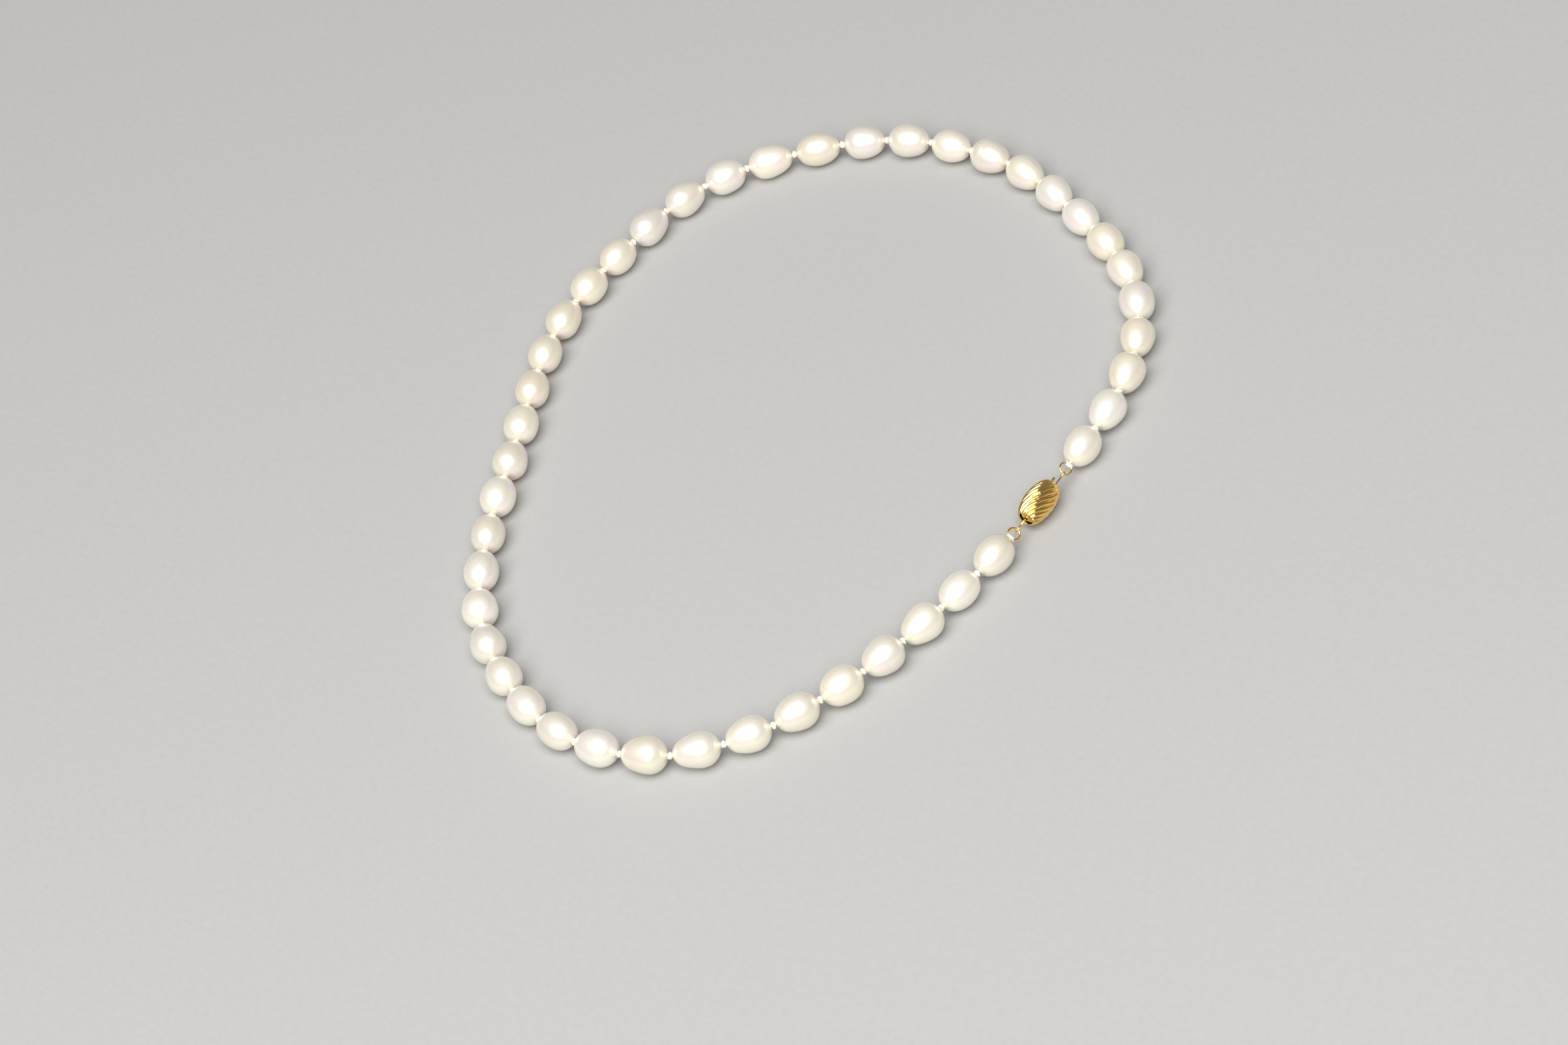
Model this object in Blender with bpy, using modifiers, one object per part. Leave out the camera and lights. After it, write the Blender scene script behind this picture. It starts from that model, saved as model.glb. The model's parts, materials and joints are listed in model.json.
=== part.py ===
"""A knotted pearl necklace with a fluted barrel clasp, laid flat and closed, as a Blender model.

Units are metres, +Z is up and +Y runs from the front of the necklace to the nape. The pearls lie on z = 0.
Lengths are written in millimetres and multiplied by MM. The strand is counted from the clasp case round the
front to the clasp hook: pearl_01 is beside the case, and the last pearl is beside the hook.
"""

import math
import random

import bpy
import mathutils

MM = 0.001

# The strand
PEARL_COUNT = 44
PEARL_DIAMETER = 6.8 * MM
PEARL_LENGTH = 8.8 * MM
DIAMETER_SPREAD = 0.25 * MM
LENGTH_SPREAD = 0.35 * MM
EGG = -0.11  # the pearls are strung with their fuller ends the same way, towards the strand's start
EGG_SPREAD = 0.09  # how much one end of a pearl may be fuller or slimmer than in the others
DRILL_RADIUS = 0.4 * MM
PEARL_STEPS = 12
PEARL_RINGS = 8  # even, so that one ring of points lies on the equator, which touches z = 0
KNOT_GAP = 0.9 * MM  # between the tips of neighbouring pearls
KNOT_RADIUS = 0.38 * MM
THREAD_RADIUS = 0.2 * MM

# The clasp, along its own axis from the tip of pearl_01 (0) to the tip of the last pearl (CLASP_SPAN)
CLASP_SPAN = 21.1 * MM
CLASP_ROLL = math.radians(38)  # the lying clasp is rolled outwards about its own axis
CASE_START = 5.75 * MM
CASE_LENGTH = 8.85 * MM
CASE_RADIUS = 2.9 * MM
CASE_END_RADIUS = 1.75 * MM
CASE_WALL = 0.35 * MM
CASE_STEPS = 24
CASE_RINGS = 12
PLATE_RADIUS = 1.42 * MM
PLATE_THICKNESS = 0.4 * MM
PLATE_INSET = 0.25 * MM
POST_RADIUS = 0.3 * MM
RING_RADIUS = 1.14 * MM  # to the middle of the wire
RING_WIRE = 0.19 * MM  # the wire's radius, in the jump rings and the eyes
EYE_RADIUS = 0.7 * MM
LINK_PLAY = 0.07 * MM  # between a jump ring and the eye that it hangs in
GIMP_RADIUS = 0.4 * MM
GIMP_THICKNESS = 0.13 * MM  # radius of the wound silk
GIMP_CENTRE = 0.6 * MM  # from the pearl's tip
STRIP_THICKNESS = 0.28 * MM
LEAF_THICKNESS = 0.24 * MM
STRIP_HALF_WIDTH = 0.75 * MM
SHANK_HALF_WIDTH = 0.42 * MM
TONGUE_START = 9.0 * MM
TONGUE_OFFSET = -0.3 * MM
LEAF_SLOPE = math.radians(4.8)
LEAF_PAST_MOUTH = 0.1 * MM
NIB_RADIUS = 0.23 * MM
NIB_LENGTH = 1.7 * MM
SLOT_SIZE = (1.4 * MM, 2.0 * MM)  # across the strips and along their width
SLOT_OFFSET = 0.1 * MM
SOLDER_GAP = 0.03 * MM  # left between pieces that are soldered together

# The rows. A row is one pearl on each side, and the necklace folds between rows.
ROOT_PEARL = 22  # the pearl across the loop from the clasp case
FRONT_ROWS = 7
BACK_ROWS = 7

# The closed line that the pearls' middles follow, clasp first, then the front, the left side and the nape
ROUTE_MM = [
    (54.3, -13), (49.5, -27), (41, -45.3), (31, -61), (17, -75), (0, -82.5), (-19, -80), (-35, -69),
    (-47.3, -53.6), (-54, -33), (-57, -12), (-60, 8), (-61, 20), (-59, 34), (-54, 48), (-46.3, 63.6),
    (-30, 76), (-5, 83), (20, 77.5), (38, 64.5), (52.2, 50.6), (60, 35.6), (61.4, 18), (58, 1.5),
]
ROUTE_STEPS = 40  # straight pieces between two points of the route

UP = mathutils.Vector((0, 0, 1))


def clear_scene():
    for obj in list(bpy.data.objects):
        bpy.data.objects.remove(obj, do_unlink=True)


def new_collection(name):
    found = bpy.data.collections.new(name)
    bpy.context.scene.collection.children.link(found)
    return found


def new_material(name, colour, metallic, roughness):
    made = bpy.data.materials.new(name)
    made.use_nodes = True
    made.diffuse_color = (*colour, 1)
    shader = made.node_tree.nodes["Principled BSDF"]
    shader.inputs["Base Color"].default_value = (*colour, 1)
    shader.inputs["Metallic"].default_value = metallic
    shader.inputs["Roughness"].default_value = roughness
    return made


class Pivot:
    """An empty on a joint's axis, with its place in the world."""

    def __init__(self, name, matrix, parent, collection):
        self.matrix = matrix
        self.empty = bpy.data.objects.new(name, None)
        self.empty.empty_display_size = 2 * MM
        collection.objects.link(self.empty)
        if parent:
            self.empty.parent = parent.empty
            self.empty.matrix_local = parent.matrix.inverted() @ matrix
        else:
            self.empty.matrix_local = matrix

    def carry(self, obj, matrix):
        obj.parent = self.empty
        obj.matrix_local = self.matrix.inverted() @ matrix


def add_object(name, data, collection, material):
    obj = bpy.data.objects.new(name, data)
    collection.objects.link(obj)
    data.materials.append(material)
    return obj


def adopt_active(name, collection, material):
    """Renames the primitive that was just added and moves it to the collection."""
    obj = bpy.context.active_object
    obj.name = name
    for old in list(obj.users_collection):
        old.objects.unlink(obj)
    collection.objects.link(obj)
    obj.data.materials.append(material)
    obj.data.shade_smooth()
    return obj


def turned(name, profile, steps, closed, collection, material):
    """A profile of (radius, height), listed down its outer side, turned about local Z."""
    mesh = bpy.data.meshes.new(name)
    edges = [(i, i + 1) for i in range(len(profile) - 1)]
    if closed:
        edges.append((len(profile) - 1, 0))
    mesh.from_pydata([(r, 0, z) for r, z in profile], edges, [])
    obj = add_object(name, mesh, collection, material)
    screw = obj.modifiers.new("Turn", "SCREW")
    screw.steps = screw.render_steps = steps
    screw.use_merge_vertices = True
    screw.merge_threshold = 0.001 * MM
    return obj


def torus(name, radius, wire, segments, collection, material):
    bpy.ops.mesh.primitive_torus_add(
        major_radius=radius, minor_radius=wire, major_segments=segments, minor_segments=8
    )
    return adopt_active(name, collection, material)


def frame_at(point, x_axis, z_axis):
    """A matrix at point with the given local X and Z directions."""
    y_axis = z_axis.cross(x_axis)
    turn = mathutils.Matrix((x_axis, y_axis, z_axis)).transposed()
    return mathutils.Matrix.Translation(point) @ turn.to_4x4()


# The route


def spline_point(a, b, c, d, t):
    """A Catmull-Rom curve's point between b and c."""
    return 0.5 * (
        2 * b + (c - a) * t + (2 * a - 5 * b + 4 * c - d) * t * t + (3 * b - a - 3 * c + d) * t**3
    )


class Route:
    """The closed line through ROUTE_MM, centred and scaled to the strand's length."""

    def __init__(self, length):
        marks = [mathutils.Vector((x, y)) * MM for x, y in ROUTE_MM]
        looped = [marks[-1], *marks, *marks[:2]]
        points = [
            spline_point(*looped[i : i + 4], k / ROUTE_STEPS)
            for i in range(len(marks))
            for k in range(ROUTE_STEPS)
        ]
        points.append(points[0])
        lengths = [0.0]
        for before, after in zip(points, points[1:]):
            lengths.append(lengths[-1] + (after - before).length)
        scale = length / lengths[-1]
        across, deep = [p.x for p in points], [p.y for p in points]
        middle = mathutils.Vector((min(across) + max(across), min(deep) + max(deep))) / 2
        self.length = length
        self.points = [(p - middle) * scale for p in points]
        self.lengths = [s * scale for s in lengths]

    def at(self, distance):
        distance %= self.length
        for i, end in enumerate(self.lengths[1:]):
            if distance <= end:
                start = self.lengths[i]
                share = (distance - start) / (end - start)
                return self.points[i].lerp(self.points[i + 1], share)
        return self.points[-1].copy()


class Strand:
    """Sizes and places of the pearls, of the knots between them and of the clasp's axis.

    Joint i lies before pearl i (counted from 0): joint 0 is the tip of pearl_01, the last one is the tip of
    the last pearl, and the others are knots.
    """

    def __init__(self):
        shape = random.Random(12)
        self.lengths = [PEARL_LENGTH + shape.uniform(-1, 1) * LENGTH_SPREAD for _ in range(PEARL_COUNT)]
        self.radii = [
            (PEARL_DIAMETER + shape.uniform(-1, 1) * DIAMETER_SPREAD) / 2 for _ in range(PEARL_COUNT)
        ]
        self.eggs = [EGG + shape.uniform(-1, 1) * EGG_SPREAD for _ in range(PEARL_COUNT)]
        knots = (PEARL_COUNT - 1) * KNOT_GAP
        route = Route(sum(self.lengths) + knots + CLASP_SPAN)
        self.place_joints(route)

    def place_joints(self, route):
        distance = CLASP_SPAN / 2
        flat = [route.at(distance)]
        for i in range(PEARL_COUNT - 1):
            distance += self.lengths[i] + (KNOT_GAP / 2 if i == 0 else KNOT_GAP)
            flat.append(route.at(distance))
        flat.append(route.at(-CLASP_SPAN / 2))
        # The clasp stands square to the line from its middle to the knot across the loop, so that its
        # tongue leaves the case along the case's own axis when the necklace opens at that knot.
        middle = (flat[0] + flat[-1]) / 2
        reach = (middle - flat[ROOT_PEARL]).normalized()
        axis = mathutils.Vector((-reach.y, reach.x))
        flat[0] = middle - axis * CLASP_SPAN / 2
        flat[-1] = middle + axis * CLASP_SPAN / 2
        around = [self.radii[0], *self.radii, self.radii[-1]]
        heights = [(around[i] + around[i + 1]) / 2 for i in range(PEARL_COUNT + 1)]
        heights[0] = heights[-1] = (self.radii[0] + self.radii[-1]) / 2
        self.joints = [mathutils.Vector((p.x, p.y, z)) for p, z in zip(flat, heights)]
        self.axis = mathutils.Vector((axis.x, axis.y, 0))

    def pearl_frame(self, i):
        """The pearl's middle, local Z along the strand and local X straight up."""
        start, end = self.joints[i], self.joints[i + 1]
        along = end - start
        along.z = 0
        along.normalize()
        # a tip stands half a knot off each knot, and none off the clasp
        before = 0 if i == 0 else KNOT_GAP / 2
        after = 0 if i == PEARL_COUNT - 1 else KNOT_GAP / 2
        middle = (start + end + along * (before - after)) / 2
        middle.z = self.radii[i]
        return frame_at(middle, UP, along)

    def clasp_frame(self):
        """Local X along the clasp, local Y across its strips (inwards and up), local Z along their width.

        The jump rings lie square to local Z, so they face outwards and up.
        """
        upright = frame_at(self.joints[0], self.axis, UP)
        return upright @ mathutils.Matrix.Rotation(CLASP_ROLL, 4, "X")


# Pearls and silk


def pearl_profile(radius, half_length, egg):
    """Down the outside of a drilled oval pearl; the turned shape closes along its drill hole."""
    first = math.asin(DRILL_RADIUS / radius)
    profile = []
    for k in range(PEARL_RINGS + 1):
        angle = first + (math.pi - 2 * first) * k / PEARL_RINGS
        swell = 1 + egg * math.cos(angle) * math.sin(angle) ** 2
        profile.append((radius * math.sin(angle) * swell, half_length * math.cos(angle)))
    profile[0] = (DRILL_RADIUS, profile[0][1])
    profile[-1] = (DRILL_RADIUS, profile[-1][1])
    return profile


def add_pearls(strand, pivots, collection, nacre):
    for i in range(PEARL_COUNT):
        profile = pearl_profile(strand.radii[i], strand.lengths[i] / 2, strand.eggs[i])
        pearl = turned(f"pearl_{i + 1:02d}", profile, PEARL_STEPS, True, collection, nacre)
        pivots[row_of(i + 1)].carry(pearl, strand.pearl_frame(i))


def add_thread(strand, pivot, collection, silk):
    """One silk thread through every pearl, with a knot in each gap."""
    swell = KNOT_RADIUS / THREAD_RADIUS
    knot_shape = ((-1.0, 1.0), (-0.55, swell), (0.55, swell), (1.0, 1.0))
    route = []
    for i in range(PEARL_COUNT + 1):
        here = strand.joints[i]
        before = (here - strand.joints[i - 1]).normalized() if i else None
        after = (strand.joints[i + 1] - here).normalized() if i < PEARL_COUNT else None
        if before is None:
            route.append((here + after * KNOT_GAP / 2, 1.0))
        elif after is None:
            route.append((here - before * KNOT_GAP / 2, 1.0))
        else:
            for offset, thickness in knot_shape:
                way = before if offset < 0 else after
                route.append((here + way * offset * KNOT_RADIUS, thickness))
    curve = bpy.data.curves.new("silk_thread", "CURVE")
    curve.dimensions = "3D"
    curve.bevel_depth = THREAD_RADIUS
    curve.bevel_resolution = 1
    curve.use_fill_caps = True
    spline = curve.splines.new("POLY")
    spline.points.add(len(route) - 1)
    for point, (place, thickness) in zip(spline.points, route):
        point.co = (*place, 1)
        point.radius = thickness
    thread = add_object("silk_thread", curve, collection, silk)
    pivot.carry(thread, mathutils.Matrix.Identity(4))


# The clasp. Each piece is placed in the clasp's frame, by its distance along the axis.


def along(x, y=0.0, z=0.0):
    return mathutils.Matrix.Translation((x, y, z))


def turn(angle, axis):
    return mathutils.Matrix.Rotation(math.radians(angle), 4, axis)


def case_radius(x):
    """Outer radius of the case at x from its middle: an ellipsoid cut off at both ends."""
    half = CASE_LENGTH / 2
    share = 1 - (CASE_END_RADIUS / CASE_RADIUS) ** 2
    return CASE_RADIUS * math.sqrt(1 - share * (x / half) ** 2)


def add_case(frame, root, collection, gold):
    middle = CASE_START + CASE_LENGTH / 2
    stations = [CASE_LENGTH * (0.5 - k / CASE_RINGS) for k in range(CASE_RINGS + 1)]
    outside = [(case_radius(x), x) for x in stations]
    inside = [(case_radius(x) - CASE_WALL, x) for x in reversed(stations)]
    barrel = turned("case_barrel", outside + inside, CASE_STEPS, True, collection, gold)
    root.carry(barrel, frame @ along(middle) @ turn(90, "Y"))

    eye_middle = lower_link()[1]
    eye = torus("case_eye", EYE_RADIUS, RING_WIRE, 20, collection, gold)
    root.carry(eye, frame @ along(eye_middle) @ turn(90, "X"))

    post_start = eye_middle + EYE_RADIUS + RING_WIRE + SOLDER_GAP
    disc_start = CASE_START + PLATE_INSET
    disc_end = disc_start + PLATE_THICKNESS
    # local Z points along the clasp, so the profile starts at the disc's inner face
    cap_profile = [
        (0, disc_end), (PLATE_RADIUS, disc_end), (PLATE_RADIUS, disc_start),
        (POST_RADIUS, disc_start), (POST_RADIUS, post_start), (0, post_start),
    ]
    cap = turned("case_end_cap", cap_profile, CASE_STEPS, False, collection, gold)
    root.carry(cap, frame @ turn(90, "Y"))


def add_mouth_plate(frame, root, collection, cutters, gold):
    """A disc in the mouth of the case, with the slot that the hook goes through."""
    place = frame @ along(CASE_START + CASE_LENGTH - PLATE_INSET - PLATE_THICKNESS / 2)
    bpy.ops.mesh.primitive_cylinder_add(
        vertices=CASE_STEPS, radius=PLATE_RADIUS, depth=PLATE_THICKNESS
    )
    plate = adopt_active("case_mouth_plate", collection, gold)
    plate.data.set_sharp_from_angle(angle=math.radians(40))
    bpy.ops.mesh.primitive_cube_add(size=1)
    slot = adopt_active("mouth_slot_cutter", cutters, gold)
    slot.display_type = "WIRE"
    slot.hide_render = True
    slot.data.transform(
        mathutils.Matrix.Diagonal((2 * PLATE_THICKNESS, SLOT_SIZE[0], SLOT_SIZE[1], 1))
    )
    root.carry(slot, place @ along(0, SLOT_OFFSET))
    root.carry(plate, place @ turn(90, "Y"))
    cut = plate.modifiers.new("Slot", "BOOLEAN")
    cut.operation = "DIFFERENCE"
    cut.solver = "EXACT"
    cut.object = slot


def add_tongue(frame, hook, collection, gold):
    """The fixed strip of the hook: wide inside the case, and a narrow shank from the mouth to the eye."""
    mouth = CASE_START + CASE_LENGTH
    shank_end = upper_link()[1] - EYE_RADIUS - RING_WIRE - SOLDER_GAP
    corners = [
        (TONGUE_START, -STRIP_HALF_WIDTH), (mouth, -STRIP_HALF_WIDTH),
        (mouth + STRIP_HALF_WIDTH - SHANK_HALF_WIDTH, -SHANK_HALF_WIDTH), (shank_end, -SHANK_HALF_WIDTH),
    ]
    corners += [(x, -z) for x, z in reversed(corners)]
    curve = bpy.data.curves.new("hook_tongue", "CURVE")
    curve.dimensions = "2D"
    curve.fill_mode = "BOTH"
    curve.extrude = STRIP_THICKNESS / 2
    spline = curve.splines.new("POLY")
    spline.points.add(len(corners) - 1)
    spline.use_cyclic_u = True
    for point, (x, y) in zip(spline.points, corners):
        point.co = (x, y, 0, 1)
    tongue = add_object("hook_tongue", curve, collection, gold)
    hook.carry(tongue, frame @ along(0, TONGUE_OFFSET) @ turn(90, "X"))


def leaf_hinge():
    """Where the sprung leaf folds back off the tongue, in the clasp's frame."""
    gap = STRIP_THICKNESS / 2 + 2 * SOLDER_GAP + LEAF_THICKNESS / 2
    return mathutils.Vector((TONGUE_START + STRIP_THICKNESS / 2, TONGUE_OFFSET + gap, 0))


def add_leaf(frame, leaf, collection, gold):
    """The sprung strip above the tongue, and the small round nib on its end that a thumbnail presses."""
    hinge = leaf_hinge()
    length = (CASE_START + CASE_LENGTH + LEAF_PAST_MOUTH - hinge.x) / math.cos(LEAF_SLOPE)
    place = frame @ along(*hinge) @ mathutils.Matrix.Rotation(LEAF_SLOPE, 4, "Z")
    bpy.ops.mesh.primitive_cube_add(size=1)
    strip = adopt_active("hook_leaf", collection, gold)
    strip.data.transform(
        along(length / 2)
        @ mathutils.Matrix.Diagonal((length, LEAF_THICKNESS, 2 * STRIP_HALF_WIDTH, 1))
    )
    strip.data.set_sharp_from_angle(angle=math.radians(40))
    leaf.carry(strip, place)

    tip = length + SOLDER_GAP + NIB_LENGTH
    dome = [
        (NIB_RADIUS * math.sin(a), tip - NIB_RADIUS * (1 - math.cos(a)))
        for a in (math.radians(30 * k) for k in range(4))
    ]
    profile = [*dome, (NIB_RADIUS, length + SOLDER_GAP), (0, length + SOLDER_GAP)]
    nib = turned("hook_thumb_nib", profile, 10, False, collection, gold)
    leaf.carry(nib, place @ turn(90, "Y"))


def lower_link():
    """Middles of the lower jump ring and of the case's eye along the clasp."""
    ring = GIMP_CENTRE + RING_RADIUS
    eye = ring + RING_RADIUS - 2 * RING_WIRE - LINK_PLAY + EYE_RADIUS
    return ring, eye


def upper_link():
    """Middles of the upper jump ring and of the hook's eye along the clasp."""
    ring, eye = lower_link()
    return CLASP_SPAN - ring, CLASP_SPAN - eye


def add_links(frame, pivots, collection, gold, silk):
    """A jump ring at each end of the clasp, the hook's eye, and the silk-wound loops that hold the rings."""
    for side, (ring_middle, _), holder, loop_middle in (
        ("lower", lower_link(), "case", GIMP_CENTRE),
        ("upper", upper_link(), "hook", CLASP_SPAN - GIMP_CENTRE),
    ):
        ring = torus(f"jump_ring_{side}", RING_RADIUS, RING_WIRE, 24, collection, gold)
        pivots[f"{side}_ring"].carry(ring, frame @ along(ring_middle))
        loop = torus(f"gimp_loop_{side}", GIMP_RADIUS, GIMP_THICKNESS, 16, collection, silk)
        pivots[holder].carry(loop, frame @ along(loop_middle) @ turn(90, "X"))
    eye = torus("hook_eye", EYE_RADIUS, RING_WIRE, 20, collection, gold)
    eye_offset = TONGUE_OFFSET + (2 * RING_WIRE - STRIP_THICKNESS)
    pivots["hook"].carry(eye, frame @ along(upper_link()[1], eye_offset) @ turn(90, "X"))


# Rows and pivots


def row_of(pearl):
    """The name of the pivot that carries a pearl, counted from 1."""
    if pearl == ROOT_PEARL:
        return "case"
    if pearl == ROOT_PEARL + 1:
        return "hook"
    if pearl < ROOT_PEARL:
        row = min(pearl, ROOT_PEARL - pearl)
        return f"front_row_{row}" if row <= FRONT_ROWS else "front_end"
    row = min(pearl - ROOT_PEARL - 1, PEARL_COUNT + 1 - pearl)
    return f"back_row_{row}" if row <= BACK_ROWS else "nape_end"


def add_fold_pivots(strand, pivots, collection):
    """Each fold's axis runs from a joint on the right of the loop to a joint on the left of it."""
    halves = (
        ("case", "front_row", "front_end", FRONT_ROWS, 0, 1, ROOT_PEARL - 1),
        ("hook", "back_row", "nape_end", BACK_ROWS, PEARL_COUNT, -1, ROOT_PEARL + 1),
    )
    for start, row_name, end_name, rows, right, step, left in halves:
        parent = pivots[start]
        for row in range(rows + 1):
            a, b = strand.joints[right + step * row], strand.joints[left - step * row]
            axis = (b - a).normalized()
            side = UP.cross(axis).normalized()
            matrix = frame_at((a + b) / 2, axis, axis.cross(side))
            name = f"{row_name}_{row + 1}" if row < rows else end_name
            pivots[name] = Pivot(name, matrix, parent, collection)
            parent = pivots[name]


def build():
    clear_scene()
    necklace = new_collection("pearl_necklace")
    cutters = new_collection("cutters")
    nacre = new_material("nacre", (0.88, 0.84, 0.76), 0.0, 0.22)
    gold = new_material("polished_gold", (0.86, 0.62, 0.24), 1.0, 0.18)
    silk = new_material("cream_silk", (0.88, 0.84, 0.72), 0.0, 0.75)

    strand = Strand()
    frame = strand.clasp_frame()
    pivots = {"case": Pivot("case", frame, None, necklace)}
    opening = mathutils.Matrix.Translation(strand.joints[ROOT_PEARL])
    pivots["hook"] = Pivot("hook", opening, pivots["case"], necklace)
    pivots["leaf"] = Pivot("leaf", frame @ along(*leaf_hinge()), pivots["hook"], necklace)
    pivots["lower_ring"] = Pivot("lower_ring", frame @ along(lower_link()[0]), pivots["case"], necklace)
    pivots["upper_ring"] = Pivot("upper_ring", frame @ along(upper_link()[0]), pivots["hook"], necklace)
    add_fold_pivots(strand, pivots, necklace)

    add_pearls(strand, pivots, necklace, nacre)
    add_thread(strand, pivots["case"], necklace, silk)
    add_case(frame, pivots["case"], necklace, gold)
    add_mouth_plate(frame, pivots["case"], necklace, cutters, gold)
    add_tongue(frame, pivots["hook"], necklace, gold)
    add_leaf(frame, pivots["leaf"], necklace, gold)
    add_links(frame, pivots, necklace, gold, silk)


build()
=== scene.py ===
"""Looks for a closed pearl necklace: nacre pearls on knotted silk, and a fluted gold barrel clasp.

Units are metres, and lengths written in millimetres are multiplied by MM. Every piece is placed from the
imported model: a pearl from the points of its own CAD node, and the clasp from its CAD nodes and from the
joints of its lower jump ring and its sprung leaf.
"""

import json
import math
import random

import bpy
import numpy as np
from mathutils import Matrix, Vector, noise


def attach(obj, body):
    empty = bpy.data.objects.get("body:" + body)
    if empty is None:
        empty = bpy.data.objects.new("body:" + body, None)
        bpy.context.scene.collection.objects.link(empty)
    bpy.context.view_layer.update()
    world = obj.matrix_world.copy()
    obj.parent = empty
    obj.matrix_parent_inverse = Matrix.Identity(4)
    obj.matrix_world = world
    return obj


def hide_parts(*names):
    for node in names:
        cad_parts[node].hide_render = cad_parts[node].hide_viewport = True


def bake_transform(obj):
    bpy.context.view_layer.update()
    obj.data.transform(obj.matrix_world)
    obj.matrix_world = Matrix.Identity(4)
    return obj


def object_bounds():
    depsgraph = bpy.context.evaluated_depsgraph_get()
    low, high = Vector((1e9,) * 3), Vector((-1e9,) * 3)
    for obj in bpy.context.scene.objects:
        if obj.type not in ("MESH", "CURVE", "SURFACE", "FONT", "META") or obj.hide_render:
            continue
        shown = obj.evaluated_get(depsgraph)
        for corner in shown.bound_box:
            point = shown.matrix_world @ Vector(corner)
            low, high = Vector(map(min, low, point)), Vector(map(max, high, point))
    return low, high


MM = 0.001

# Pearls
PEARL_COUNT = 44
HOLE_RADIUS = 0.4 * MM  # in the CAD
MOUTH_RADIUS = 0.3 * MM  # of the visible drill hole
HOLE_LIP = 0.06 * MM  # radius of the worn edge where the drill hole meets the surface
LIP_ROWS = 4
PEARL_SIDES = 72
PEARL_ROWS = 56
LUMP_HEIGHT = 0.075 * MM  # of the broad, soft unevenness of a freshwater pearl
LUMP_SIZE = 4.2 * MM
RIPPLE_HEIGHT = 0.02 * MM
RIPPLE_SIZE = 1.5 * MM
LUMPS_SINK = 0.35  # share of LUMP_HEIGHT that the surface lies lower by, so that lumps don't fatten a pearl
MOST_OVAL = 0.018  # how much narrower a pearl may be one way across than the other
BLUNTNESS = (-0.02, 0.12)  # how full the ends may be: 0 is an ellipse
BELT_DEPTHS = (0.0, 0.0, 0.0, 0.02 * MM, 0.035 * MM)  # most pearls have no belt, a shallow groove all round
BELT_PLACES = (-0.6, 0.6)  # along the pearl, in half lengths
BELT_WIDTH = 0.07  # in half lengths
LIGHTNESS = (0.93, 1.03)  # how the pearls' tints differ
WARM_RED = 0.015  # how far the warmest pearl's red goes up, and the coolest one's down
WARM_BLUE = 0.045  # the same for blue, the other way

# Silk
THREAD_RADIUS = 0.26 * MM
THREAD_PLIES = 3
THREAD_PITCH = 1.1 * MM  # length of one full twist
KNOT_TURN_RADIUS = 0.3 * MM
KNOT_CROSS_RADIUS = 0.21 * MM
KNOT_STRAND = 0.25 * MM
KNOT_STEPS = 96
KNOT_TWISTS = 5
ROPE_SIDES = 18
ROPE_RELIEF = 0.1  # how far the plies stand out, as a share of the thread's radius
KNOT_RELIEF = 0.09
KNOT_WIDTHS = (0.92, 1.05)  # how the knots' sizes differ
KNOT_HEIGHTS = (0.95, 1.1)
THREAD_STEPS = 60

# Clasp
FLUTES = 16
RIB_WOBBLE = 0.16  # how far ribs stray, as a share of one rib's width
RIB_UNEVENNESS = 0.3  # how much deeper some grooves are than others
RIB_DRIFT = 3 * MM  # along the case, over which a rib changes
WOBBLE_SCALE = 2.3
UNEVENNESS_SCALE = 1.7
FLUTE_DEPTH = 0.42 * MM  # at the widest place
RIB_SPAN = 0.93  # share of a half circle that a rib's round back takes up
FLUTE_TWIST = math.radians(118)  # from one end of the case to the other
CASE_ROWS = 80
SIDES_PER_FLUTE = 14
INNER_ROWS = 24
RIM_ROWS = 5
RIM_SHARE = 0.3  # the rounding of the case's ends, as a share of its wall
RIM_FADE = 0.7  # how much of a groove's depth is gone at the end of the case
SAME_PLACE = 0.01 * MM  # CAD points closer than this along the clasp lie on one face
WIRE_STEPS = 120
WIRE_SIDES = 24
POST_FILLET = 0.22 * MM
DISC_EDGE = 0.04 * MM
PIN_TIP = 0.0001 * MM  # the radius that stands for a point on a lathe's axis
CAP_SIDES = 64
NIB_SIDES = 40
NIB_WAIST = 0.45  # how far along the nib its narrowest place is
STRIP_EDGE = 0.05 * MM

# Silk at the clasp
GIMP_TURNS = 22
GIMP_STEPS = 16  # in one turn
GIMP_CORE = 0.62  # shares of the CAD loop's thickness
GIMP_WIRE = 0.38
WRAP_THREAD = 0.12 * MM
WRAP_TURNS = 5
WRAP_STEPS = 20  # in one turn
WRAP_SPREAD = math.radians(66)

# Camera
CAMERA_AZIMUTH = 33.2
CAMERA_ELEVATION = 44.0
CAMERA_ROLL = -19.7
CAMERA_DISTANCE = 0.816
CAMERA_AIM = Vector((0.0032, -0.0202, 0))
CAMERA_LENS = 100

# Studio
FLOOR_HALF = 4.0  # of its side
FLOOR_DROP = 0.03 * MM  # below the CAD's lowest point
KEY_AZIMUTH = 15
KEY_ELEVATION = 60
KEY_DISTANCE = 1.5
KEY_SIZE = 1.9
KEY_POWER = 44.0
KEY_COLOUR = (1.0, 0.985, 0.96)
SKY_COLOUR = (0.88, 0.88, 0.88, 1)
SKY_STRENGTH = 0.22

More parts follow.
